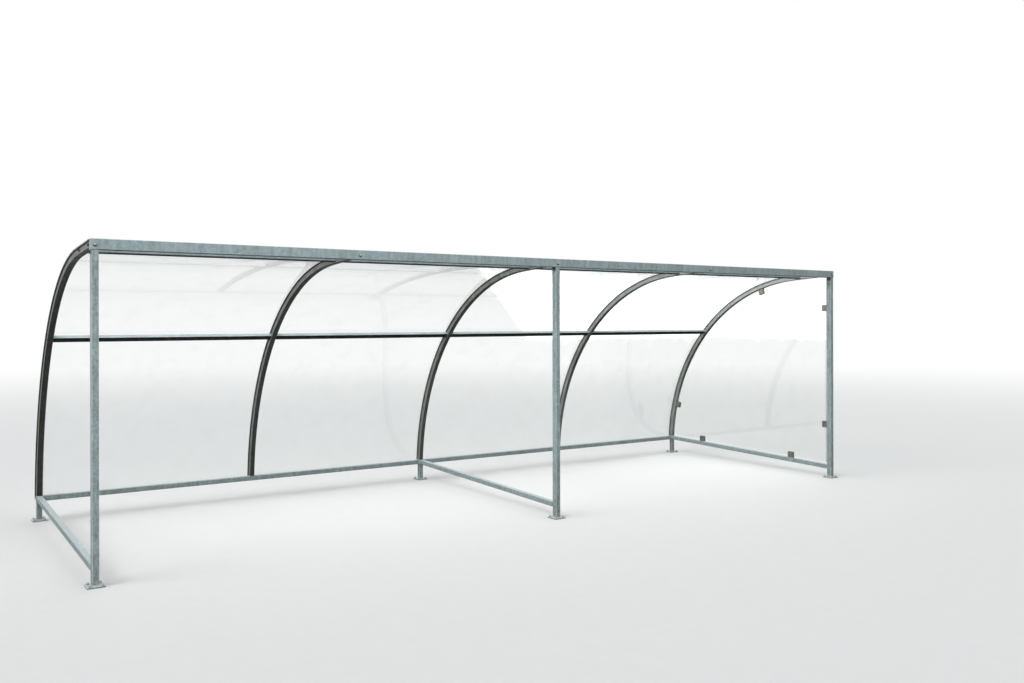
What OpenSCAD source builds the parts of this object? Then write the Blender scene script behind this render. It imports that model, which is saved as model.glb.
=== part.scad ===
// Open fronted bike shelter: galvanised tube frame with five curved ribs,
// clear sheets bent over them, and one flat clear panel clamped in the right end.
// X runs along the front, Y runs from the open front to the back, Z is up.
// The origin is on the floor, under the middle of the shelter's box.

/* [Overall size] */
// Top of the front beam above the floor
height = 2000; // [1800:10:2300]
// Front face of the posts to the back of the ribs
depth = 2234; // [2100:2:2500]
// Spacing of the ribs along the front
bay = 1656; // [1000:2:2200]
// Radius of the ribs' outer face
roof_r = 1888; // [1700:2:1950]
// Slope of the straight top run of the ribs, in degrees
top_slope = 3.5; // [2:0.5:6]
// Drop from the beam's top to the cover strips where they meet
strip_drop = 1; // [0:0.5:5]

/* [Frame tubes] */
// Width of the posts along X
post_w = 40; // [35:1:60]
// Depth of the posts along Y
post_d = 50; // [40:1:70]
// Wall of the posts
post_wall = 3; // [2:0.5:5]
// Height of the front beam
beam_h = 65; // [50:1:80]
// Depth of the front beam, which stands flush on the posts
beam_d = 50; // [40:1:70]
// Wall of the front beam
beam_wall = 3; // [2:0.5:5]
// Width of a rib along X
rib_w = 40; // [36:1:50]
// Height of a rib square to its curve
rib_h = 40; // [36:1:50]
// Wall of the ribs
rib_wall = 3; // [2:0.5:5]
// Side of the square base rails
rail_w = 40; // [36:1:60]
// Wall of the base rails
rail_wall = 3; // [2:0.5:5]
// Width of the channel purlins along the roof line
purlin_w = 42; // [30:1:50]
// Depth of the channel purlins below the roof line
purlin_d = 30; // [20:1:36]
// Wall of the channel purlins
purlin_wall = 2.5; // [2:0.5:4]
// Outer corner radius of the straight tubes and channels
tube_r = 5; // [3.5:0.5:8]
// Thickness of the plates that close open tube ends
cap_t = 3; // [2:0.5:6]

/* [Base] */
// Top of the side rails above the floor at the front posts
rail_front = 125; // [100:1:200]
// Climb of the side rails from the front to the back
rail_rise = 65; // [0:1:100]
// Side of the square base plates
plate_w = 100; // [90:1:160]
// Thickness of the base plates
plate_t = 8; // [5:1:15]
// Spacing of the anchor holes both ways
anchor_pitch = 70; // [66:1:76]
// Diameter of the anchor holes
anchor_d = 12; // [8:0.5:14]

/* [Purlins] */
// Height angle of the middle purlin, seen from the centre of the curve
mid_angle = 44.8; // [38:0.1:52]
// Centre of the top purlin behind the front face of the posts
top_purlin_y = 380; // [200:5:440]

/* [Clear sheets] */
// Thickness of the curved roof sheets
sheet_t = 4; // [3:0.5:8]
// Gap between neighbouring roof sheets over a rib
sheet_gap = 6; // [4:1:10]
// Gap between the roof sheets and the front beam
sheet_front_gap = 3; // [2:0.5:6]
// Overlap of the roof sheets below the top of the back rail
sheet_lap = 25; // [10:1:30]
// Thickness of the flat end panel
panel_t = 6; // [4:0.5:10]
// Gap between the end panel and the frame round it
panel_gap = 20; // [16:1:30]

/* [Strips] */
// Width of the sealing and cover strips along the ribs
strip_w = 56; // [52:1:60]
// Thickness of the sealing strips below the sheets
seal_t = 2; // [1:0.5:3]
// Thickness of the cover strips above the sheets
strip_t = 3; // [2:0.5:4]

/* [Panel clamps] */
// Length of a clamp along the frame
clamp_w = 62; // [40:1:80]
// Reach of a clamp from the frame over the panel
clamp_reach = 58; // [44:1:70]
// Width of a clamp through the panel
clamp_t = 28; // [20:1:34]
// Solid foot of a clamp between the frame and its slot
clamp_foot = 12; // [8:1:14]
// Corner radius of a clamp
clamp_r = 5; // [2:1:10]
// Middle of the front rail clamp behind the post
rail_clamp_front = 448; // [150:1:900]
// Middle of the back rail clamp ahead of the back rail
rail_clamp_back = 468; // [300:1:900]
// Lower rib clamp, as a height angle from the centre of the curve
rib_clamp_low = 15.3; // [10:0.1:35]
// Upper rib clamp, as a height angle from the centre of the curve
rib_clamp_high = 73.2; // [55:0.1:78]
// Middle of the lower post clamp above the side rail
post_clamp_low = 386; // [150:1:800]
// Middle of the upper post clamp below the front beam
post_clamp_high = 294; // [200:1:700]

/* [Fits] */
// Clearance where pieces that aren't welded rest on each other
seat_clear = 0.3; // [0.1:0.1:0.6]

/* [Hidden] */

// Facets drawn on a small circle, and on a circle as large as the roof curve
$fn = 48;
arc_fn = 240;
// Room by which a cut runs past the solid that it cuts
over = 10;
// Larger than the side view of the shelter
far = 3000;
// Least corner radius inside a tube
inner_r = 0.5;

zinc = "#9fb0b9";
clear = [0.78, 0.86, 0.88, 0.35];
rubber = "#2b2a29";
strip_col = "#8d979c";
clamp_col = "#6f6f69";

// Centre of the roof curve, measured from the front face of the posts and the floor
arc_y = depth - roof_r;
rib_drop = seal_t + sheet_t + strip_t + strip_drop;
arc_z = height - rib_drop - (roof_r + (arc_y - beam_d) * sin(top_slope)) / cos(top_slope);

// Base rails: heights of their tops, and the back rail right below the ribs' feet
rail_back = rail_front + rail_rise;
rail_back_y = arc_y + sqrt(pow(roof_r, 2) - pow(rail_back - arc_z, 2));
rail_slope = rail_rise / (rail_back_y - rail_w - post_d);
foot_y = rail_back_y - rail_w / 2;

// Radii of the layers on the ribs
sheet_in = roof_r + seal_t;
sheet_out = sheet_in + sheet_t;
purlin_r = roof_r - seat_clear - purlin_d / 2;
panel_edge_r = roof_r - rib_h - panel_gap;

// The front of the posts in the shelter's own frame, with the origin under the middle of its box
plate_over = (plate_w - post_d) / 2;
box_back = foot_y + plate_w / 2;
front_y = -(box_back - plate_over) / 2;

// Places along X
rib_count = 5;
function rib_x(i) = (i - (rib_count + 1) / 2) * bay;
left_x = rib_x(1);
middle_x = rib_x(3);
right_x = rib_x(5);
frame_len = right_x - left_x + rib_w;

// Height of the side rails' top edge at a distance behind the front face of the posts
function rail_top(y) = rail_front + (y - post_d) * rail_slope;

// Puts a side view, drawn as (depth, height), across the shelter at x, w wide
module across(x, w) {
    translate([x - w / 2, front_y, 0]) rotate([90, 0, 90]) linear_extrude(height = w) children();
}

// Moves a side view from the centre of the roof curve to its place
module at_curve() {
    translate([arc_y, arc_z]) children();
}

// Side view of the roof line: a straight run that slopes down from the front
// and an arc tangent to it, r at its outer face and t thick
module roof_line(r, t) {
    rotate(-top_slope) {
        intersection() {
            difference() {
                circle(r = r, $fn = arc_fn);
                circle(r = r - t, $fn = arc_fn);
            }
            translate([0, -r]) square([r, 2 * r]);
        }
        translate([-roof_r, r - t]) square([roof_r, t]);
    }
}

// Side view of the roof line between the front end y and the lower end z
module roof_band(r, t, y, z) {
    intersection() {
        at_curve() roof_line(r, t);
        translate([y, z]) square(far);
    }
}

// Rectangle around the origin with round corners of radius r
module round_rect(w, h, r) {
    square([w - 2 * r, h], center = true);
    square([w, h - 2 * r], center = true);
    for (sx = [-1, 1], sy = [-1, 1])
        translate([sx * (w / 2 - r), sy * (h / 2 - r)]) circle(r = r);
}

// Section of a square or oblong tube around the origin
module tube_section(w, h, wall) {
    difference() {
        round_rect(w, h, tube_r);
        round_rect(w - 2 * wall, h - 2 * wall, max(tube_r - wall, inner_r));
    }
}

// Tube along Z, centred on the axis
module tube(size_x, size_y, wall, length) {
    linear_extrude(height = length) tube_section(size_x, size_y, wall);
}

// Tube along X that starts at x, with its section centred on the axis
module tube_along_x(x, size_y, size_z, wall, length) {
    translate([x, 0, 0]) rotate([0, 90, 0]) tube(size_z, size_y, wall, length);
}

// Section of a channel around the origin, w along Y and d along X, with its web on the left
module channel_section(w, d, wall) {
    inner_w = w - 2 * wall;
    difference() {
        union() {
            round_rect(d, w, tube_r);
            translate([0, -w / 2]) square([d / 2, w]);
        }
        translate([wall, 0]) {
            round_rect(d, inner_w, max(tube_r - wall, inner_r));
            translate([0, -inner_w / 2]) square([d / 2 + over, inner_w]);
        }
    }
}

// Base plate with four anchor holes, centred on x and y
module base_plate(x, y) {
    translate([x, front_y + y, 0]) difference() {
        translate([-plate_w / 2, -plate_w / 2, 0]) cube([plate_w, plate_w, plate_t]);
        for (sx = [-1, 1], sy = [-1, 1])
            translate([sx * anchor_pitch / 2, sy * anchor_pitch / 2, -over])
                cylinder(d = anchor_d, h = plate_t + 2 * over);
    }
}

// Front post with its welded base plate
module front_post(x) {
    color(zinc) union() {
        base_plate(x, post_d / 2);
        translate([x, front_y + post_d / 2, plate_t])
            tube(post_w, post_d, post_wall, height - beam_h - plate_t);
    }
}

// Stub foot with its base plate, under the back rail
module rear_foot(x) {
    color(zinc) union() {
        base_plate(x, foot_y);
        translate([x, front_y + foot_y, plate_t])
            tube(rail_w, rail_w, rail_wall, rail_back - rail_w - plate_t);
    }
}

// Oblong beam along the tops of the front posts
module front_beam() {
    color(zinc)
        translate([0, front_y + beam_d / 2, height - beam_h / 2])
            tube_along_x(left_x - rib_w / 2, beam_d, beam_h, beam_wall, frame_len);
}

// Plate with the outline of a tube that closes its end on the outside, with its middle at y and z
module end_cap(x, side, y, z, size_y, size_z) {
    color(zinc)
        translate([x + side * (rib_w + cap_t) / 2 - cap_t / 2, front_y + y, z])
            rotate([0, 90, 0]) linear_extrude(height = cap_t) round_rect(size_z, size_y, tube_r);
}

module beam_cap(x, side) {
    end_cap(x, side, beam_d / 2, height - beam_h / 2, beam_d, beam_h);
}

// Rail along the feet of all the ribs
module back_rail() {
    color(zinc)
        translate([0, front_y + foot_y, rail_back - rail_w / 2])
            tube_along_x(left_x - rib_w / 2, rail_w, rail_w, rail_wall, frame_len);
}

module rail_cap(x, side) {
    end_cap(x, side, foot_y, rail_back - rail_w / 2, rail_w, rail_w);
}

// Side rail from a front post up to the back rail, cut upright at both ends
module side_rail(x) {
    length = rail_back_y - rail_w - post_d;
    color(zinc) intersection() {
        translate([x, front_y + post_d, rail_front]) rotate([atan(rail_slope) - 90, 0, 0])
            translate([0, rail_w / 2, -over]) tube(rail_w, rail_w, rail_wall, length + 3 * over);
        translate([x - rail_w, front_y + post_d, 0]) cube([2 * rail_w, length, rail_back + over]);
    }
}

// Curved rib: a square tube rolled to the roof line, cut level on the back rail
// and upright against the beam
module rib(x) {
    color(zinc) difference() {
        across(x, rib_w) roof_band(roof_r, rib_h, beam_d, rail_back);
        across(x, rib_w - 2 * rib_wall)
            roof_band(roof_r - rib_wall, rib_h - 2 * rib_wall, beam_d - over, rail_back - over);
    }
}

// Channel purlin between two ribs, turned to the roof line at the angle a above the
// horizontal through the curve's centre, and moved forward by along; its web is on the
// outside, in line with the ribs, and its hollow side faces into the shelter
module purlin(i, a, along) {
    color(zinc)
        translate([0, front_y + arc_y, arc_z])
            rotate([a - 90, 0, 0])
                translate([rib_x(i) + rib_w / 2, -along, purlin_r])
                    rotate([0, 90, 0]) linear_extrude(height = bay - rib_w)
                        channel_section(purlin_w, purlin_d, purlin_wall);
}

module mid_purlin(i) {
    purlin(i, mid_angle, 0);
}

// The top purlin lies on the straight run, or on the curve if that starts ahead of it
module top_purlin(i) {
    along = (arc_y - top_purlin_y + purlin_r * sin(top_slope)) / cos(top_slope);
    a = acos((top_purlin_y - arc_y) / purlin_r);
    purlin(i, min(90 - top_slope, a), max(0, along));
}

// Soft strips between the ribs and the roof sheets
module rib_seals() {
    color(rubber)
        for (i = [1:rib_count])
            across(rib_x(i), strip_w)
                roof_band(sheet_in, seal_t, beam_d + sheet_front_gap, rail_back);
}

// Clear sheet over one bay, bent to the roof line and lapped over the back rail
module roof_sheet(i) {
    // The two outer sheets run on to the ends of the strips
    x0 = i == 1 ? rib_x(i) - strip_w / 2 : rib_x(i) + sheet_gap / 2;
    x1 = i == rib_count - 1 ? rib_x(i + 1) + strip_w / 2 : rib_x(i + 1) - sheet_gap / 2;
    color(clear)
        across((x0 + x1) / 2, x1 - x0)
            roof_band(sheet_out, sheet_t, beam_d + sheet_front_gap, rail_back - sheet_lap);
}

// Cover strip over a rib, which holds the sheets' edges down
module cover_strip(i) {
    color(strip_col)
        across(rib_x(i), strip_w)
            roof_band(sheet_out + strip_t, strip_t, beam_d + sheet_front_gap, rail_back - sheet_lap);
}

// Side view of the right end's opening, gap in from the frame
module end_opening() {
    y0 = post_d + panel_gap;
    intersection() {
        at_curve() rotate(-top_slope) {
            intersection() {
                circle(r = panel_edge_r, $fn = arc_fn);
                translate([0, -far]) square([far, 2 * far]);
            }
            translate([-roof_r, -far]) square([roof_r, far + panel_edge_r]);
        }
        polygon([
            [y0, rail_top(y0) + panel_gap], [far, rail_top(far) + panel_gap],
            [far, height], [y0, height]
        ]);
    }
}

// Flat clear panel in the right end
module end_panel() {
    color(clear) across(right_x, panel_t) end_opening();
}

// Side view of a clamp: its straight foot is on the origin's line, its free corners are round
module clamp_view() {
    translate([-clamp_w / 2, 0]) square([clamp_w, clamp_reach - clamp_r]);
    translate([-clamp_w / 2 + clamp_r, 0]) square([clamp_w - 2 * clamp_r, clamp_reach]);
    for (side = [-1, 1])
        translate([side * (clamp_w / 2 - clamp_r), clamp_reach - clamp_r]) circle(r = clamp_r);
}

// Clamp on the frame of the right end: at y and z in the side view, turned by a
// so that it reaches into the opening, with a slot over the panel's edge
module clamp(y, z, a) {
    slot_w = panel_t + 2 * seat_clear;
    color(clamp_col)
        translate([right_x, front_y + y, z]) rotate([a, 0, 0]) translate([0, 0, seat_clear])
            difference() {
                translate([-clamp_t / 2, 0, 0])
                    rotate([90, 0, 90]) linear_extrude(height = clamp_t) clamp_view();
                translate([-slot_w / 2, -clamp_w / 2 - over, clamp_foot])
                    cube([slot_w, clamp_w + 2 * over, clamp_reach]);
            }
}

module clamp_on_rail(y) {
    clamp(y, rail_top(y), atan(rail_slope));
}

// The flat foot of the clamp spans the rib's hollow side, so it stands in by the curve's rise
module clamp_on_rib(a) {
    r = sqrt(pow(roof_r - rib_h, 2) - pow(clamp_w / 2, 2));
    clamp(arc_y + r * cos(a), arc_z + r * sin(a), 90 + a);
}

module clamp_on_post(z) {
    clamp(post_d, z, -90);
}

front_post(left_x);  // front_post_left
front_post(middle_x);  // front_post_middle
front_post(right_x);  // front_post_right
rear_foot(left_x);  // rear_foot_left
rear_foot(middle_x);  // rear_foot_middle
rear_foot(right_x);  // rear_foot_right
front_beam();
beam_cap(left_x, -1);  // beam_cap_left
beam_cap(right_x, 1);  // beam_cap_right
back_rail();
rail_cap(left_x, -1);  // rail_cap_left
rail_cap(right_x, 1);  // rail_cap_right
side_rail(left_x);  // side_rail_left
side_rail(middle_x);  // side_rail_middle
side_rail(right_x);  // side_rail_right
rib_seals();
for (i = [1:rib_count]) {
    rib(rib_x(i));
    cover_strip(i);
}
for (i = [1:rib_count - 1]) {
    mid_purlin(i);
    top_purlin(i);
    roof_sheet(i);
}
end_panel();
clamp_on_rail(post_d + rail_clamp_front);  // clamp_rail_front
clamp_on_rail(rail_back_y - rail_w - rail_clamp_back);  // clamp_rail_back
clamp_on_rib(rib_clamp_low);  // clamp_rib_low
clamp_on_rib(rib_clamp_high);  // clamp_rib_high
clamp_on_post(rail_front + post_clamp_low);  // clamp_post_low
clamp_on_post(height - beam_h - post_clamp_high);  // clamp_post_high
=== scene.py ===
import math
import random

import bpy
from mathutils import Matrix, Vector


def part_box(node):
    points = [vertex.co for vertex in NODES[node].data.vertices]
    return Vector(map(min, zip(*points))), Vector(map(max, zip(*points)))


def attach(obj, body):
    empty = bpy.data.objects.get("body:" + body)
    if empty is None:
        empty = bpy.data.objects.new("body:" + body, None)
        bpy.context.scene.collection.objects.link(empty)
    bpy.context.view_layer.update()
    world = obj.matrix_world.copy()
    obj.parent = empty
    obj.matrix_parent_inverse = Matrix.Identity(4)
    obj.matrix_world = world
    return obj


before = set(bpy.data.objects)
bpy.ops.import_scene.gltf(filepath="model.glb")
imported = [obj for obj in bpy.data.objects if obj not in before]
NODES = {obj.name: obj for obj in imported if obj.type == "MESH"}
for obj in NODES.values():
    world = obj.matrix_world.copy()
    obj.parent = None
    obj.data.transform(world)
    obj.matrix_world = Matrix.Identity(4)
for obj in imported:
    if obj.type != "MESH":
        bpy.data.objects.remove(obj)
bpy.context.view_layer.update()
RNG = random.Random(7)

# Places in the CAD frame, in metres

X, Y, Z = Vector((1, 0, 0)), Vector((0, 1, 0)), Vector((0, 0, 1))


def node_size(name):
    low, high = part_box(name)
    return high - low


def node_middle(name):
    low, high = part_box(name)
    return (low + high) / 2


BEAM_LOW, BEAM_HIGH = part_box("front_beam")
BEAM_D = node_size("front_beam").y
FRONT = BEAM_LOW.y
RIB_X = [node_middle(f"rib_{i}").x for i in range(1, 6)]
RIB_W = node_size("rib_1").x
OUTSIDES = ((RIB_X[0], -1), (RIB_X[4], 1))
SIDES = {"left": RIB_X[0], "middle": RIB_X[2], "right": RIB_X[4]}
POST_Y = node_middle("front_post_left").y
FOOT_Y = node_middle("rear_foot_left").y
RAIL_LOW, RAIL_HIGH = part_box("back_rail")
RAIL_W = node_size("back_rail").y

# Sizes from the CAD source that no box gives: the posts, the plates' top, the anchors' distance from the
# middle of their plate, and the tubes' corner radius
POST_W, POST_D = 0.040, 0.050
PLATE_TOP = 0.008
ANCHOR = 0.035
TUBE_R = 0.005

# The roof line: a straight run from the beam, then an arc tangent to it
ROOF_R = 1.888
TOP_SLOPE = math.radians(3.5)
TOP_TURN = math.pi / 2 - TOP_SLOPE
ARC_Y = FRONT + 0.346
STRIP_TOP = 0.009
RIB_DROP = STRIP_TOP + 0.001
TOP_RISE = (ARC_Y - FRONT - BEAM_D) * math.sin(TOP_SLOPE)
ARC_Z = BEAM_HIGH.z - RIB_DROP - (ROOF_R + TOP_RISE) / math.cos(TOP_SLOPE)
CENTRE = Vector((0, ARC_Y, ARC_Z))

# The purlins are channels whose webs lie right below the roof line
PURLIN_W, PURLIN_D, PURLIN_WALL = 0.042, 0.030, 0.0025
PURLIN_GAP = 0.0003
PURLIN_R = ROOF_R - PURLIN_GAP - PURLIN_D / 2
MID_ANGLE = math.radians(44.8)
TOP_PURLIN_Y = FRONT + 0.380
TOP_ALONG = (ARC_Y - TOP_PURLIN_Y + PURLIN_R * math.sin(TOP_SLOPE)) / math.cos(TOP_SLOPE)


def spoke(a):
    """Direction out from the curve's centre at the height angle a."""
    return Vector((0, math.cos(a), math.sin(a)))


def along_roof(a):
    """Direction up and forward along the roof line at the height angle a."""
    return Vector((0, -math.sin(a), math.cos(a)))


def purlin_middle(angle, along):
    """Middle of a purlin's section, from its height angle and its place along the straight run."""
    return CENTRE + PURLIN_R * spoke(angle) + along * along_roof(angle)


def roof_point(s, lift):
    """Point at the length s along the roof line from the beam's back, lift out from the ribs' outside,
    and the outward direction there."""
    turn = CENTRE + ROOF_R * spoke(TOP_TURN)
    run = (turn.y - FRONT - BEAM_D) / math.cos(TOP_SLOPE)
    if s < run:
        return turn + (run - s) * along_roof(TOP_TURN) + lift * spoke(TOP_TURN), spoke(TOP_TURN)
    out = spoke(TOP_TURN - (s - run) / ROOF_R)
    return CENTRE + (ROOF_R + lift) * out, out


# Materials

class Nodes:
    """Short calls for the nodes of one shader tree."""

    def __init__(self, tree):
        self.tree = tree
        tree.nodes.clear()

    def node(self, kind):
        return self.tree.nodes.new("ShaderNode" + kind)

    def join(self, a, b):
        self.tree.links.new(a, b)

    def put(self, socket, value):
        if isinstance(value, bpy.types.NodeSocket):
            self.join(value, socket)
        else:
            socket.default_value = value

    def calc(self, kind, op, values):
        """Node of an operation on the values."""
        n = self.node(kind)
        n.operation = op
        for socket, value in zip(n.inputs, values):
            self.put(socket, value)
        return n

    def math(self, op, *values):
        return self.calc("Math", op, values).outputs[0]

    def times(self, a, b):
        return self.math("MULTIPLY", a, b)

    def most(self, a, b):
        return self.math("MAXIMUM", a, b)

    def shader(self, kind, colour):
        """Shader node of one colour."""
        n = self.node(kind)
        n.inputs["Color"].default_value = colour
        return n

    def blend(self, fac, a, b):
        """Shader node that mixes the shader nodes a and b."""
        n = self.node("MixShader")
        self.join(fac, n.inputs[0])
        self.join(a.outputs[0], n.inputs[1])
        self.join(b.outputs[0], n.inputs[2])
        return n

    def seen(self):
        """1 for the rays that show the surroundings: direct ones, mirrored ones and those through glass."""
        paths = self.node("LightPath").outputs
        direct = self.most(paths["Is Camera Ray"], paths["Is Glossy Ray"])
        return self.most(direct, paths["Is Transmission Ray"])


class Paint(Nodes):
    """A material around one Principled shader, with short calls for the nodes that feed it."""

    def __init__(self, name):
        self.mat = bpy.data.materials.new(name)
        self.mat.use_nodes = True
        super().__init__(self.mat.node_tree)
        self.out = self.node("OutputMaterial")
        self.bsdf = self.node("BsdfPrincipled")
        self.join(self.bsdf.outputs[0], self.out.inputs["Surface"])
        self.coords = self.node("TexCoord").outputs["Object"]
        self.normal = self.node("NewGeometry").outputs["Normal"]

    def set(self, **values):
        for key, value in values.items():
            self.put(self.bsdf.inputs[key.replace("_", " ")], value)

    def stretch(self, x, y, z):
        n = self.node("Mapping")
        self.join(self.coords, n.inputs["Vector"])
        n.inputs["Scale"].default_value = (x, y, z)
        return n.outputs[0]

    def noise(self, scale, detail, rough, vector=None):
        n = self.node("TexNoise")
        self.join(vector or self.coords, n.inputs["Vector"])
        self.put(n.inputs["Scale"], scale)
        self.put(n.inputs["Detail"], detail)
        self.put(n.inputs["Roughness"], rough)
        return n.outputs["Fac"]

    def cells(self, scale, vector):
        n = self.node("TexVoronoi")
        self.join(vector, n.inputs["Vector"])
        self.put(n.inputs["Scale"], scale)
        s = self.node("SeparateColor")
        self.join(n.outputs["Color"], s.inputs[0])
        return s.outputs[0]

    def vector_math(self, op, *values):
        n = self.calc("VectorMath", op, values)
        return n.outputs["Value" if op in ("DOT_PRODUCT", "LENGTH") else "Vector"]

    def shaken(self, amount, scale):
        """Object coordinates moved about by a noise, in metres."""
        n = self.node("TexNoise")
        self.join(self.coords, n.inputs["Vector"])
        n.inputs["Scale"].default_value = scale
        off = self.vector_math("SUBTRACT", n.outputs["Color"], (0.5, 0.5, 0.5))
        return self.vector_math("MULTIPLY_ADD", off, (amount, amount, amount), self.coords)

    def along(self, direction, vector=None):
        """Length of the object coordinates, or of a vector, along a fixed direction."""
        return self.vector_math("DOT_PRODUCT", vector or self.coords, tuple(direction))

    def span(self, value, low, high, to_low=0.0, to_high=1.0, kind="SMOOTHSTEP"):
        """Soft change from to_low, where the value is low, to to_high, where it is high."""
        n = self.node("MapRange")
        n.interpolation_type = kind
        self.put(n.inputs["Value"], value)
        self.put(n.inputs["From Min"], low)
        self.put(n.inputs["From Max"], high)
        self.put(n.inputs["To Min"], to_low)
        self.put(n.inputs["To Max"], to_high)
        return n.outputs["Result"]

    def even(self, value, at_0, at_1):
        """Even change from at_0, where the value is 0, to at_1, where it is 1."""
        return self.span(value, 0.0, 1.0, at_0, at_1, "LINEAR")

    def patches(self, scale, detail, rough, low, high, to_low=0.0, to_high=1.0, vector=None):
        """Soft patches where a noise goes from low to high."""
        return self.span(self.noise(scale, detail, rough, vector), low, high, to_low, to_high)

    def weighed(self, *pairs):
        """Sum of values, each times its weight."""
        total = None
        for value, weight in pairs:
            part = self.times(value, weight)
            total = part if total is None else self.math("ADD", total, part)
        return total

    def mix(self, fac, a, b):
        n = self.node("Mix")
        n.data_type = "RGBA"
        self.put(n.inputs["Factor"], fac)
        self.put(n.inputs[6], a)
        self.put(n.inputs[7], b)
        return n.outputs[2]

    def bump(self, height, strength, distance):
        n = self.node("Bump")
        self.put(n.inputs["Strength"], strength)
        self.put(n.inputs["Distance"], distance)
        self.join(height, n.inputs["Height"])
        self.join(n.outputs[0], self.bsdf.inputs["Normal"])


def rgb(r, g, b):
    return (r, g, b, 1.0)


def bluer(r, g, b):
    return rgb(r * 0.86, g, b * 1.12)


def bolt_grey(v):
    return rgb(v * 0.93, v, v)


# Colours of the marks: the black of painted shade, dust that also paints shade, the pale of painted light,
# and pale specks
SHADE_BLACK = rgb(0.030, 0.031, 0.029)
DUST_AND_SHADE = rgb(0.17, 0.165, 0.145)
PAINTED_LIGHT = rgb(0.72, 0.76, 0.75)
SPECK = rgb(0.62, 0.66, 0.66)

# Where the zinc's dust with painted shade and its painted light lie, as heights in metres
DUST_AND_SHADE_TOP = 0.65
LIT_TOPS_FROM, LIT_TOPS_TO = 0.04, 0.12
LIT_HIGH_FROM, LIT_HIGH_TO = 1.1, 1.8

# How much of each mark shows, from 0 to 1: the dust with painted shade, the painted highlights on corners,
# the specks, the painted shade, and the painted light on the tops, low down and higher up
DUST_AND_SHADE_AMOUNT, CORNER_HIGHLIGHT, SPECKLED, SHADE_AMOUNT = 0.62, 0.42, 0.25, 0.85
LIT_TOPS_LOW, LIT_TOPS_HIGH = 0.75, 0.38

# The fine spangle's scale, as a multiple of the coarse one's
FINE_SPANGLE = 2.3


def galvanised(name, dark, light, streak=(38, 38, 6), spangle=60.0, shade_place=None, gloss=0.3,
               painted_paler=0.0):
    """Weathered zinc: run marks down the faces, spangle of two sizes, large clouds, bluish patches, dust
    on upright faces near the floor that also paints shade there, painted light on the tops, painted
    highlights on upright corners, pale specks, and painted shade on the undersides. The argument after
    spangle gives one more place for painted shade, as a value from 0 to 1, and the last one is how much
    painted light makes it paler high up."""
    p = Paint(name)
    height = p.along(Z)
    facing_up = p.along(Z, p.normal)

    loose = p.shaken(0.02, 30.0)
    coarse, fine = p.cells(spangle, loose), p.cells(spangle * FINE_SPANGLE, loose)
    flakes = p.span(p.weighed((coarse, 0.6), (fine, 0.4)), 0.15, 0.85)
    runs = p.patches(scale=1.0, detail=3.0, rough=0.55, low=0.30, high=0.70, vector=p.stretch(*streak))
    clouds = p.patches(scale=5.0, detail=4.0, rough=0.6, low=0.3, high=0.7)
    tone = p.weighed((flakes, 0.34), (runs, 0.44), (clouds, 0.22))
    bluish = p.patches(scale=8.0, detail=3.0, rough=0.55, low=0.50, high=0.68, to_high=0.45)
    colour = p.mix(tone, rgb(*dark), rgb(*light))
    colour = p.mix(bluish, colour, p.mix(flakes, bluer(*dark), bluer(*light)))

    # Dust low on upright faces, which also paints the shade near the floor
    low_down = p.times(p.span(height, 0.0, DUST_AND_SHADE_TOP, 1.0, 0.0), p.span(facing_up, 0.3, 0.7, 1.0, 0.0))
    dust = p.times(low_down, p.patches(scale=38.0, detail=5.0, rough=0.65, low=0.20, high=0.75))
    colour = p.mix(p.times(dust, DUST_AND_SHADE_AMOUNT), colour, DUST_AND_SHADE)

    # Painted light: the tops paler, most of all in the lowest few centimetres
    top_light = p.span(height, LIT_TOPS_FROM, LIT_TOPS_TO, LIT_TOPS_LOW, LIT_TOPS_HIGH)
    top_light = p.times(top_light, p.span(runs, 0.0, 1.0, 0.7, 1.0))
    # Painted highlights on upright corners
    corner = p.math("ABSOLUTE", p.times(p.along(X, p.normal), p.along(Y, p.normal)))
    corner_highlight = p.span(corner, 0.15, 0.45, 0.0, CORNER_HIGHLIGHT)
    painted_light = p.most(p.times(p.span(facing_up, 0.30, 0.75), top_light), corner_highlight)
    # Painted light that makes it paler high up
    if painted_paler:
        painted_light = p.most(painted_light, p.span(height, LIT_HIGH_FROM, LIT_HIGH_TO, 0.0, painted_paler))
    colour = p.mix(painted_light, colour, PAINTED_LIGHT)

    specks = p.patches(scale=260.0, detail=2.0, rough=0.5, low=0.70, high=0.78)
    colour = p.mix(p.times(specks, SPECKLED), colour, SPECK)

    # Painted shade on the undersides and in the places given
    painted_shade = p.span(facing_up, -0.10, -0.60, 0.0, SHADE_AMOUNT)
    if shade_place:
        painted_shade = p.most(painted_shade, shade_place(p))
    painted_shade = p.times(painted_shade, p.patches(scale=22.0, detail=4.0, rough=0.6, low=0.25, high=0.7, to_low=0.90))
    colour = p.mix(painted_shade, colour, SHADE_BLACK)

    p.set(Base_Color=colour, Metallic=0.15, Specular_IOR_Level=gloss)
    p.set(Roughness=p.math("ADD", p.even(flakes, 0.44, 0.58), p.weighed((dust, 0.2), (painted_shade, 0.15))))
    grain = p.noise(scale=420.0, detail=3.0, rough=0.6)
    p.bump(p.weighed((grain, 1.0), (flakes, 0.35)), strength=0.2, distance=0.0006)
    return p.mat


def under_beam(p):
    """Painted shade on the sides of the posts right below the beam."""
    clean_below, shaded_above = BEAM_LOW.z - 0.040, BEAM_LOW.z - 0.014
    near = p.span(p.along(Z), clean_below, shaded_above, 0.0, SHADE_AMOUNT)
    return p.times(near, p.span(p.math("ABSOLUTE", p.along(X, p.normal)), 0.5, 0.9))


def rib_inside(amount):
    """Painted shade on the ribs' inner side, which faces the curve's centre and the ground."""
    def mask(p):
        away = p.vector_math("SUBTRACT", p.coords, tuple(CENTRE))
        out = p.vector_math("NORMALIZE", p.vector_math("MULTIPLY", away, (0, 1, 1)))
        return p.span(p.vector_math("DOT_PRODUCT", p.normal, out), -0.35, -0.80, 0.0, amount)
    return mask


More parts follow.
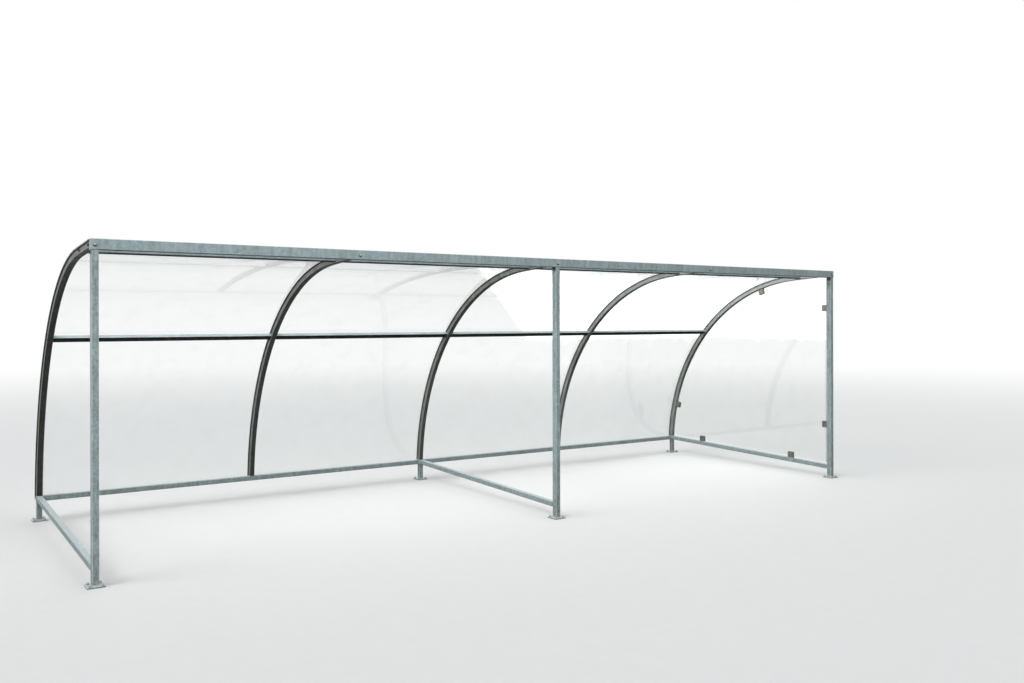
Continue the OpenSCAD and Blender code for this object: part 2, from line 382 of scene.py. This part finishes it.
# How much painted shade lies in the purlins, and how far its edge runs into the walls' thickness
CHANNEL_SHADE = 0.97
SHADE_MARGIN = 0.0006


def channel_inside(angle, along, shaded_lip):
    """Painted shade on the hollow side and the lower flange of a purlin, from its turn and its place along
    the roof line, and on as much of the upper flange's lip as the last argument says."""
    middle = purlin_middle(angle, along)
    edge = PURLIN_W / 2 - PURLIN_WALL + SHADE_MARGIN
    web = PURLIN_D / 2 - PURLIN_WALL + SHADE_MARGIN

    def mask(p):
        across = p.math("SUBTRACT", p.along(along_roof(angle)), middle.dot(along_roof(angle)))
        out = p.math("SUBTRACT", p.along(spoke(angle)), middle.dot(spoke(angle)))
        hollow = p.times(p.math("LESS_THAN", across, edge), p.math("LESS_THAN", out, web))
        lip = p.math("LESS_THAN", out, shaded_lip - PURLIN_D / 2)
        return p.times(p.most(hollow, lip), CHANNEL_SHADE)
    return mask


HAZE = 0.2
PALE_DUST = rgb(0.72, 0.72, 0.69)
THIN_SHADOW = rgb(0.90, 0.92, 0.91)


def clear_plastic(name, tint):
    """Clear sheet with a breath of dust. Rays from lamps pass it, so that it casts only a thin shadow."""
    p = Paint(name)
    dirt = p.patches(scale=7.0, detail=5.0, rough=0.62, low=0.42, high=0.8)
    grit = p.patches(scale=160.0, detail=3.0, rough=0.6, low=0.3, high=0.8, to_low=0.4)
    dirt = p.times(dirt, grit)
    p.set(Base_Color=p.mix(p.times(dirt, HAZE), rgb(*tint), PALE_DUST))
    p.set(Roughness=p.even(dirt, 0.015, 0.13), IOR=1.49, Transmission_Weight=1.0)
    p.bump(p.noise(scale=2.2, detail=1.0, rough=0.4), strength=0.04, distance=0.002)
    lamp_ray = p.node("LightPath").outputs["Is Shadow Ray"]
    passing = p.blend(lamp_ray, p.bsdf, p.shader("BsdfTransparent", THIN_SHADOW))
    p.join(passing.outputs[0], p.out.inputs["Surface"])
    return p.mat


def rubber(name):
    """Sealing strip, chalky in patches, and with painted light making it paler towards the open right end.
    """
    p = Paint(name)
    black, chalky, painted_paler = rgb(0.036, 0.035, 0.032), rgb(0.092, 0.089, 0.080), rgb(0.20, 0.205, 0.19)
    chalk = p.patches(scale=24.0, detail=5.0, rough=0.6, low=0.35, high=0.75)
    # Painted light: paler towards the right end
    sunlit = p.span(p.along(X), RIB_X[1], RIB_X[3], 0.0, 0.75)
    p.set(Base_Color=p.mix(sunlit, p.mix(chalk, black, chalky), painted_paler))
    p.set(Roughness=p.even(chalk, 0.55, 0.82))
    p.bump(p.noise(scale=700.0, detail=2.0, rough=0.5), strength=0.25, distance=0.0004)
    return p.mat


def aluminium(name):
    """Mill-finish strip: fine lines along its length, broken up by dull spots."""
    p = Paint(name)
    bright, dulled = rgb(0.50, 0.515, 0.53), rgb(0.30, 0.31, 0.32)
    lines = p.noise(scale=1.0, detail=3.0, rough=0.6, vector=p.stretch(2600.0, 9.0, 9.0))
    dull = p.patches(scale=16.0, detail=5.0, rough=0.6, low=0.38, high=0.72)
    tone = p.weighed((lines, 0.35), (dull, 0.65))
    p.set(Base_Color=p.mix(tone, bright, dulled), Metallic=0.5, Roughness=p.even(tone, 0.34, 0.58))
    p.bump(lines, strength=0.18, distance=0.0004)
    return p.mat


def cast_metal(name):
    """Dull cast clamp, warm grey and paler high up, with a fine sandy skin, rubbed places and painted shade
    on its undersides.
    """
    p = Paint(name)
    dark, bare, paler = rgb(0.115, 0.112, 0.095), rgb(0.235, 0.23, 0.20), rgb(0.40, 0.375, 0.33)
    rubbed = p.patches(scale=55.0, detail=4.0, rough=0.6, low=0.35, high=0.75)
    tone = p.mix(p.span(p.along(Z), 0.4, 1.6, 0.0, 0.5), p.mix(rubbed, dark, bare), paler)
    # Painted shade on the undersides
    shaded_below = p.span(p.along(Z, p.normal), -0.3, -0.9, 0.0, 0.6)
    p.set(Base_Color=p.mix(shaded_below, tone, SHADE_BLACK), Metallic=0.25, Roughness=p.even(rubbed, 0.66, 0.5))
    p.bump(p.noise(scale=900.0, detail=3.0, rough=0.6), strength=0.3, distance=0.0005)
    return p.mat


def bolt_zinc(name, low, high):
    """Zinc of bolts, screws and nuts, brighter in patches, with painted shade on their undersides."""
    p = Paint(name)
    bright = p.patches(scale=140.0, detail=4.0, rough=0.6, low=0.35, high=0.7)
    # Painted shade on the undersides
    shaded_below = p.span(p.along(Z, p.normal), 0.10, -0.35, 0.0, 0.9)
    tone = p.mix(bright, bolt_grey(low), bolt_grey(high))
    p.set(Base_Color=p.mix(shaded_below, tone, SHADE_BLACK), Metallic=0.30, Specular_IOR_Level=0.3)
    p.set(Roughness=p.even(bright, 0.50, 0.32))
    p.bump(p.noise(scale=900.0, detail=2.0, rough=0.5), strength=0.15, distance=0.0003)
    return p.mat


# Colours of the zinc at its darkest and its lightest
ZINC = (0.248, 0.308, 0.320), (0.448, 0.542, 0.555)
POST = (0.182, 0.228, 0.236), (0.466, 0.566, 0.574)
WELD = (0.20, 0.235, 0.235), (0.40, 0.46, 0.455)
# The ribs' zinc is darker than the rest, partly as painted shade
RIB = (0.124, 0.131, 0.120), (0.272, 0.286, 0.264)

# Scales of the run marks on X, Y and Z: they go down the posts, and along the purlins and the ribs
DOWN, ALONG_PURLIN, ALONG_RIB = (90, 90, 13), (7, 40, 40), (22, 9, 9)
NO_RUNS = (60, 60, 60)

# The ribs and purlins shine less than the rest of the zinc
DULL = 0.2

# How much of the top purlins' upper lip gets painted shade, in metres
TOP_LIP = 0.0065

MATS = {
    "galvanised_steel": galvanised("galvanised_steel", *ZINC),
    "seal_rubber": rubber("seal_rubber"),
    "clear_roof_sheet": clear_plastic("clear_roof_sheet", (0.945, 0.962, 0.955)),
    "strip_aluminium": aluminium("strip_aluminium"),
    "clear_end_panel": clear_plastic("clear_end_panel", (0.935, 0.955, 0.945)),
    "clamp_metal": cast_metal("clamp_metal"),
}
# Painted shade in the purlins' hollows
MID_SHADE = channel_inside(MID_ANGLE, along=0.0, shaded_lip=0.0)
TOP_SHADE = channel_inside(TOP_TURN, along=TOP_ALONG, shaded_lip=TOP_LIP)
OWN_ZINC = {
    "front_post": galvanised("post_zinc", *POST, streak=DOWN, spangle=80.0, shade_place=under_beam),
    "mid_purlin": galvanised("mid_purlin_zinc", *ZINC, streak=ALONG_PURLIN, spangle=70.0,
                             shade_place=MID_SHADE, gloss=DULL),
    "top_purlin": galvanised("top_purlin_zinc", *ZINC, streak=ALONG_PURLIN, spangle=70.0,
                             shade_place=TOP_SHADE, gloss=DULL),
}
WELD_ZINC = galvanised("weld_zinc", *WELD, streak=NO_RUNS, spangle=160.0)
BOLT_ZINC = bolt_zinc("bolt_zinc", low=0.38, high=0.72)
DARK_BOLT = bolt_zinc("dark_bolt", low=0.05, high=0.13)

# The ribs' tones are painted light and shade: darker at the left, paler towards the right end. For each:
# its tone, the painted shade on its inside and how much painted light makes it paler high up
RIB_LOOKS = (
    (1.00, 0.93, 0.00),
    (0.88, 0.86, 0.00),
    (0.90, 0.70, 0.00),
    (1.08, 0.42, 0.26),
    (1.16, 0.28, 0.47),
)
for i, (tone, inside, pale) in enumerate(RIB_LOOKS, 1):
    shades = [[c * tone for c in colour] for colour in RIB]
    OWN_ZINC[f"rib_{i}"] = galvanised(f"rib_zinc_{i}", *shades, streak=ALONG_RIB, spangle=70.0,
                                      shade_place=rib_inside(inside), gloss=DULL, painted_paler=pale)


def finish_of(node, slot):
    """The material of a node's slot: its own zinc where it has one."""
    if slot == "galvanised_steel":
        for start, zinc in OWN_ZINC.items():
            if node.startswith(start):
                return zinc
    return MATS[slot]


for name, obj in NODES.items():
    for slot in obj.material_slots:
        slot.material = finish_of(name, slot.material.name.split(".")[0])

# Edges of the CAD nodes: the width of the bevel and its segments

EDGES = {"rib_": (0.0050, 4), "cover_strip": (0.0008, 2), "clamp_": (0.0016, 2)}
SAME_PLACE = 0.00001
SHARP_ANGLE = math.radians(50)


def soften(obj, width, segments):
    """Rounds a node's sharp edges with modifiers."""
    weld = obj.modifiers.new("weld", "WELD")
    weld.merge_threshold = SAME_PLACE
    bevel = obj.modifiers.new("bevel", "BEVEL")
    bevel.width = width
    bevel.segments = segments
    bevel.limit_method = "ANGLE"
    bevel.angle_limit = SHARP_ANGLE
    bevel.harden_normals = True
    bevel.use_clamp_overlap = False


for name, obj in NODES.items():
    for start, edge in EDGES.items():
        if name.startswith(start) and name != "rib_seals":
            soften(obj, *edge)


# Mesh tools

def added(name, data):
    """New object in the scene."""
    obj = bpy.data.objects.new(name, data)
    bpy.context.scene.collection.objects.link(obj)
    return obj


class Mesh:
    """Collects faces of many small like parts and makes one piece of them."""

    def __init__(self):
        self.points, self.faces = [], []

    def add(self, points, faces, matrix=None):
        base = len(self.points)
        self.points += [tuple(matrix @ Vector(p)) if matrix else tuple(p) for p in points]
        self.faces += [tuple(base + i for i in f) for f in faces]

    def turned(self, rings, matrix, sides):
        """A closed body of rings (height, radius or its function of the angle) around Z. A radius of 0
        closes an end."""
        points, faces, rows = [], [], []
        for z, r in rings:
            if r == 0:
                rows.append([len(points)])
                points.append((0, 0, z))
                continue
            row = []
            for k in range(sides):
                t = 2 * math.pi * k / sides
                q = r(t) if callable(r) else r
                row.append(len(points))
                points.append((q * math.cos(t), q * math.sin(t), z))
            rows.append(row)
        for a, b in zip(rows, rows[1:]):
            for k in range(sides):
                m = (k + 1) % sides
                if len(a) == 1:
                    faces.append((b[k], b[m], a[0]))
                elif len(b) == 1:
                    faces.append((a[k], a[m], b[0]))
                else:
                    faces.append((a[k], a[m], b[m], b[k]))
        self.add(points, faces, matrix)

    def bead(self, path, size, closed=False):
        """A fillet weld along path, a list of (corner, direction on one face, direction on the other),
        with the ripples of a welder's hand. Each section has four points: two sunk in the faces, and two
        that round the weld off."""
        n = len(path)
        sunk = 0.0006
        ripple, ripple_step, uneven = 0.10, 2.1, 0.07
        far, near = 0.78, 0.26
        points, faces = [], []
        for k, (corner, a, b) in enumerate(path):
            s = size * (1 + ripple * math.sin(k * ripple_step) + RNG.uniform(-uneven, uneven))
            inner = corner - (a + b) * sunk
            points += [inner + a * s - b * sunk, corner + a * s * far + b * s * near]
            points += [corner + a * s * near + b * s * far, inner + b * s - a * sunk]
        for k in range(n if closed else n - 1):
            m = (k + 1) % n
            for j in range(3):
                faces.append((4 * k + j, 4 * m + j, 4 * m + j + 1, 4 * k + j + 1))
            faces.append((4 * k + 3, 4 * m + 3, 4 * m, 4 * k))
        if not closed:
            faces.append((3, 2, 1, 0))
            faces.append(tuple(4 * (n - 1) + j for j in range(4)))
        self.add(points, faces)

    def build(self, name, slot, material, smooth=40):
        me = bpy.data.meshes.new(name)
        me.from_pydata(self.points, [], self.faces)
        me.materials.append(material)
        me.validate()
        me.polygons.foreach_set("use_smooth", [True] * len(me.polygons))
        me.set_sharp_from_angle(angle=math.radians(smooth))
        me.update()
        obj = added(name, me)
        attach(obj, "root")


def place(point, out, turn=0.0):
    """Matrix that puts a part's Z along out at the point, turned about it."""
    q = Vector(out).to_track_quat("Z", "Y")
    return Matrix.Translation(Vector(point)) @ q.to_matrix().to_4x4() @ Matrix.Rotation(turn, 4, "Z")


def raised(matrix, z):
    return matrix @ Matrix.Translation((0, 0, z))


def hexagon(across):
    """Radius of a hexagon, given across its flats."""
    def radius(t):
        step = math.pi / 3
        return across / 2 / math.cos((t % step) - step / 2)
    return radius


# Fixings

def washer(mesh, m, hole, r, t):
    chamfer = 0.0007
    rings = [(0.0, hole), (0.0, r), (t * 0.6, r), (t, r - chamfer), (t, hole), (0.0, hole)]
    mesh.turned(rings, m, sides=28)


def dome_bolt(mesh, m, r, h):
    """Round mushroom head, sunk a little into what it sits on, with an upright rim below its dome."""
    sunk, rim, dome = 0.0004, 0.35, 0.97
    rings = [(-sunk, 0), (-sunk, r * 0.98), (h * 0.12, r), (h * rim, r * dome)]
    for k in range(1, 6):
        a = k * math.pi / 12
        rings.append((h * (rim + (1 - rim) * math.sin(a * 1.2)), r * dome * math.cos(a * 1.17)))
    rings.append((h, 0))
    mesh.turned(rings, m, sides=28)


def head_on_washer(heads, washers, m, seat, head):
    """A round head on a washer. seat is the washer's hole, radius and thickness, and head is the head's
    radius and height."""
    washer(washers, m, *seat)
    dome_bolt(heads, raised(m, seat[2]), *head)


def socket_screw(mesh, m, r, h, key):
    """Low round head with a hexagon socket."""
    hexa = hexagon(key)
    rings = [(0.0, 0), (0.0, r), (h * 0.75, r), (h, r * 0.88), (h, key * 0.62), (h * 0.98, hexa)]
    rings += [(h * 0.35, hexa), (h * 0.35, 0)]
    mesh.turned(rings, m, sides=24)


def hex_nut(mesh, m, across, h, bore):
    """Hexagon nut with its ends turned off round."""
    hexa = hexagon(across)
    ring = across / 2 * 0.985
    rings = [(0.0, bore), (0.0, ring), (h * 0.1, hexa), (h * 0.9, hexa), (h, ring), (h, bore), (0.0, bore)]
    mesh.turned(rings, m, sides=36)


def rod_end(mesh, m, r, low, high):
    """Threaded rod end with a chamfer."""
    pitch, plain, chamfer = 0.00175, 0.0035, 0.0014
    root = r * 0.9
    rings = [(low, 0), (low, root)]
    z = low
    while z < high - plain:
        rings += [(z + pitch * 0.25, root), (z + pitch * 0.5, r), (z + pitch * 0.9, r)]
        z += pitch
    rings += [(high - chamfer, r), (high, r * 0.8), (high, 0)]
    mesh.turned(rings, m, sides=20)


# One bolt through the beam at each rib, in the upper part of its face
BOLT_DROP = 0.036
BOLT_SEAT, BOLT_HEAD = (0.004, 0.0122, 0.0018), (0.0098, 0.0068)
bolts, bolt_seats = Mesh(), Mesh()
for x in RIB_X:
    seat = place((x, FRONT, BEAM_HIGH.z - BOLT_DROP), -Y)
    head_on_washer(bolts, bolt_seats, seat, BOLT_SEAT, BOLT_HEAD)
bolts.build("beam_bolts", "galvanised_steel", BOLT_ZINC)
# The washers' dark zinc paints the shade under the bolt heads
bolt_seats.build("beam_washers", "galvanised_steel", DARK_BOLT)

# Screws through the two outer ribs' outsides: one at the beam, the others into the purlins' ends
FROM_BEAM = 0.035
SIDE_SEAT, SIDE_HEAD = (0.003, 0.0095, 0.0014), (0.0075, 0.0082)
side_screws = Mesh()
SIDE_POINTS = (
    roof_point(FROM_BEAM, -RIB_W / 2)[0],
    purlin_middle(TOP_TURN, TOP_ALONG),
    purlin_middle(MID_ANGLE, 0),
)
for x, side in OUTSIDES:
    face = x + side * RIB_W / 2
    for p in SIDE_POINTS:
        seat = place((face, p.y, p.z), side * X)
        head_on_washer(side_screws, side_screws, seat, SIDE_SEAT, SIDE_HEAD)
side_screws.build("rib_screws", "galvanised_steel", DARK_BOLT)

# Anchors: a washer, a nut and the end of a threaded rod in each hole of the base plates. The nut's sizes
# are its width across the flats, its height and its bore
ANCHOR_SEAT, ANCHOR_NUT = (0.0056, 0.0115, 0.0020), (0.0165, 0.0084, 0.0050)
ROD_R, ROD_LOW, ROD_TOP, ROD_SPREAD = 0.0052, 0.0010, 0.0225, 0.002
anchors = Mesh()
for px in SIDES.values():
    for py in (POST_Y, FOOT_Y):
        for dx in (-ANCHOR, ANCHOR):
            for dy in (-ANCHOR, ANCHOR):
                at = place((px + dx, py + dy, 0), Z, RNG.uniform(0, 6))
                washer(anchors, raised(at, PLATE_TOP), *ANCHOR_SEAT)
                hex_nut(anchors, raised(at, PLATE_TOP + ANCHOR_SEAT[2]), *ANCHOR_NUT)
                rod_top = ROD_TOP + RNG.uniform(-ROD_SPREAD, ROD_SPREAD)
                rod_end(anchors, at, ROD_R, ROD_LOW, rod_top)
anchors.build("anchor_bolts", "galvanised_steel", BOLT_ZINC)

# A screw in each clamp's outside, off its middle in the direction given here. The head's sizes are its
# radius, its height and its socket's width
SCREW_OFF, SCREW_TURN = 0.010, 0.3
CLAMP_HEAD = (0.0075, 0.0050, 0.0060)
CLAMPS = {
    "clamp_rail_front": Z,
    "clamp_rail_back": Z,
    "clamp_rib_low": -Y,
    "clamp_rib_high": -Z,
    "clamp_post_low": Y,
    "clamp_post_high": Y,
}
clamp_screws = Mesh()
for name, way in CLAMPS.items():
    at = node_middle(name) + SCREW_OFF * way
    seat = place((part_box(name)[1].x, at.y, at.z), X, SCREW_TURN)
    socket_screw(clamp_screws, seat, *CLAMP_HEAD)
clamp_screws.build("clamp_screws", "clamp_metal", BOLT_ZINC)

# Weld beads

WELD_SIZE, SMALL_WELD = 0.0046, 0.0036
WELD_STEP = 0.0028


def tube_ring(cx, cy, z, size_x, size_y):
    """Path round an upright oblong tube with round corners that stands on a face at z."""
    corner_steps, side_steps = 6, 12
    path = []
    fx, fy = size_x / 2 - TUBE_R, size_y / 2 - TUBE_R
    corners = [(fx, -fy, -90), (fx, fy, 0), (-fx, fy, 90), (-fx, -fy, 180)]
    for (ox, oy, a0), (nx, ny, _) in zip(corners, corners[1:] + corners[:1]):
        for k in range(corner_steps + 1):
            a = math.radians(a0 + 90 / corner_steps * k)
            out = Vector((math.cos(a), math.sin(a), 0))
            path.append((Vector((cx + ox, cy + oy, z)) + TUBE_R * out, out, Z))
        start = Vector((cx + ox, cy + oy, z)) + TUBE_R * out
        end = Vector((cx + nx, cy + ny, z)) + TUBE_R * out
        for k in range(1, side_steps):
            path.append((start.lerp(end, k / side_steps), out, Z))
    return path


def straight(start, end, a, b):
    """Path from start to end, in a corner whose faces go off in the directions a and b."""
    start, end = Vector(start), Vector(end)
    steps = max(4, int((end - start).length / WELD_STEP))
    return [(start.lerp(end, k / steps), a, b) for k in range(steps + 1)]


welds = Mesh()
INSET = RAIL_W / 2 - TUBE_R
POST_FRONT, POST_BACK = POST_Y - POST_D / 2 + TUBE_R, POST_Y + POST_D / 2 - TUBE_R
for side, px in SIDES.items():
    welds.bead(tube_ring(px, POST_Y, PLATE_TOP, POST_W, POST_D), WELD_SIZE, closed=True)
    welds.bead(tube_ring(px, FOOT_Y, PLATE_TOP, RAIL_W, RAIL_W), WELD_SIZE, closed=True)
    # The side rail's top and underside against the post's back
    low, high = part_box(f"side_rail_{side}")
    for z, up in ((low.z + RAIL_W, Z), (low.z, -Z)):
        welds.bead(straight((px - INSET, low.y, z), (px + INSET, low.y, z), Y, up), WELD_SIZE)
    for turn in (-1, 1):
        # The side rail's side against the back rail
        face = px + turn * RAIL_W / 2
        z = high.z - RAIL_W / 2
        path = straight((face, high.y, z - INSET), (face, high.y, z + INSET), turn * X, -Y)
        welds.bead(path, WELD_SIZE)
        # The post's side against the beam's underside
        face = px + turn * POST_W / 2
        z = BEAM_LOW.z
        welds.bead(straight((face, POST_FRONT, z), (face, POST_BACK, z), turn * X, -Z), SMALL_WELD)
# The ribs' sides on the back rail, apart from the two outsides, where the rail leaves no room for a bead
y0 = RAIL_LOW.y + TUBE_R
y1 = min(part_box("rib_1")[1].y, RAIL_HIGH.y) - TUBE_R
for x in RIB_X:
    for turn in (-1, 1):
        if (x, turn) in OUTSIDES:
            continue
        face = x + turn * RIB_W / 2
        z = RAIL_HIGH.z
        welds.bead(straight((face, y0, z), (face, y1, z), turn * X, Z), SMALL_WELD)
welds.build("weld_beads", "galvanised_steel", WELD_ZINC, smooth=70)

# Screws along the cover strips

STRIP_START, STRIP_PITCH, FOOT_ROOM = 0.06, 0.30, 0.02
STRIP_SEAT, STRIP_HEAD = (0.0028, 0.0080, 0.0012), (0.0052, 0.0030)
screws = Mesh()
for x in RIB_X:
    s = STRIP_START
    p, out = roof_point(s, STRIP_TOP)
    while p.z > RAIL_HIGH.z + FOOT_ROOM:
        at = place((x, p.y, p.z), out, RNG.uniform(0, 6))
        head_on_washer(screws, screws, at, STRIP_SEAT, STRIP_HEAD)
        s += STRIP_PITCH
        p, out = roof_point(s, STRIP_TOP)
screws.build("strip_screws", "strip_aluminium", BOLT_ZINC)

# Camera

EYE = (-4.369, FRONT - 5.807, 1.520)
YAW, LEVEL, ROLL = math.radians(-34.16), math.radians(90), math.radians(-0.12)
cam_data = bpy.data.cameras.new("camera")
cam_data.sensor_width = 36.0
cam_data.lens = 33.15
cam_data.shift_y = -0.0198
cam_data.clip_end = 200.0
cam_data.dof.use_dof = False
camera = added("camera", cam_data)
turn = Matrix.Rotation(YAW, 4, "Z") @ Matrix.Rotation(LEVEL, 4, "X")
camera.matrix_world = Matrix.Translation(EYE) @ turn @ Matrix.Rotation(ROLL, 4, "Z")
bpy.context.scene.camera = camera

# Floor: pale where it is seen, and as dull as paving for the light that it throws back on the object

FLOOR_HALF = 60.0
FADE_START, FADE_END = 6.0, 28.0
PALE_FLOOR, PALER_FLOOR = rgb(0.84, 0.84, 0.835), rgb(0.88, 0.88, 0.875)
PAVING = rgb(0.22, 0.22, 0.215)
floor_mesh = bpy.data.meshes.new("floor")
corners = [(-1, -1), (1, -1), (1, 1), (-1, 1)]
floor_mesh.from_pydata([(FLOOR_HALF * cx, FLOOR_HALF * cy, 0) for cx, cy in corners], [], [(0, 1, 2, 3)])
floor = added("floor", floor_mesh)
ground = Paint("floor")
pale = ground.mix(ground.noise(scale=9.0, detail=4.0, rough=0.6), PALE_FLOOR, PALER_FLOOR)
ground.set(Base_Color=pale, Roughness=0.85)
distance = ground.vector_math("LENGTH", ground.coords)
faded = ground.blend(ground.span(distance, FADE_START, FADE_END), ground.bsdf, ground.node("Emission"))
shown = ground.blend(ground.seen(), ground.shader("BsdfDiffuse", PAVING), faded)
ground.join(shown.outputs[0], ground.out.inputs["Surface"])
floor_mesh.materials.append(ground.mat)

# World: an even cool sky, white where it is seen

SKY_STRENGTH = 0.36
world = bpy.data.worlds.new("world")
bpy.context.scene.world = world
world.use_nodes = True
air = Nodes(world.node_tree)
sky = air.shader("Background", rgb(0.93, 0.97, 1.0))
sky.inputs["Strength"].default_value = SKY_STRENGTH
white = air.shader("Background", rgb(1, 1, 1))
white.inputs["Strength"].default_value = 1.0
shown = air.blend(air.seen(), sky, white)
air.join(shown.outputs[0], air.node("OutputWorld").inputs["Surface"])


# Lamps

def soft_lamp(name, kind, at, direction, energy):
    """A lamp at a point that shines in a direction."""
    data = bpy.data.lights.new(name, kind)
    data.energy = energy
    lamp = added(name, data)
    turned = direction.to_track_quat("-Z", "Y").to_matrix().to_4x4()
    lamp.matrix_world = Matrix.Translation(at) @ turned
    return lamp


def soft_sun(name, towards, angle, energy):
    """A lamp without falloff that shines from the direction towards, as soft as a sky panel of that
    angle. How far off its object stands makes no difference."""
    far = 8
    lamp = soft_lamp(name, "SUN", Vector(towards) * far, -Vector(towards), energy)
    lamp.data.angle = math.radians(angle)
    return lamp


def soft_panel(name, at, aim, size, energy):
    """A square area lamp at a point, turned to the point aim."""
    lamp = soft_lamp(name, "AREA", Vector(at), Vector(aim) - Vector(at), energy)
    lamp.data.size = size
    return lamp


def spare_floor(lamp):
    """Keeps a lamp off the floor, so that the floor stays even, and out of what a camera or mirror
    shows."""
    lamp.visible_camera = False
    lamp.visible_glossy = False
    unlit = bpy.data.collections.new(lamp.name + "_unlit")
    unlit.objects.link(floor)
    lamp.light_linking.receiver_collection = unlit
    unlit.collection_objects[0].light_linking.link_state = "EXCLUDE"


PANEL_AT, PANEL_AIM = (-3.2, FRONT - 5.2, 3.0), (-2.0, FRONT, 1.2)
soft_sun("key", (-0.80, -0.08, 0.75), angle=40, energy=1.58)
soft_sun("top", (0.25, 0.15, 1.0), angle=100, energy=0.50)
spare_floor(soft_panel("front", PANEL_AT, PANEL_AIM, size=3.0, energy=138))
spare_floor(soft_sun("fill", (0.85, 0.50, 0.30), angle=60, energy=0.60))

bpy.context.scene.view_settings.view_transform = "Standard"
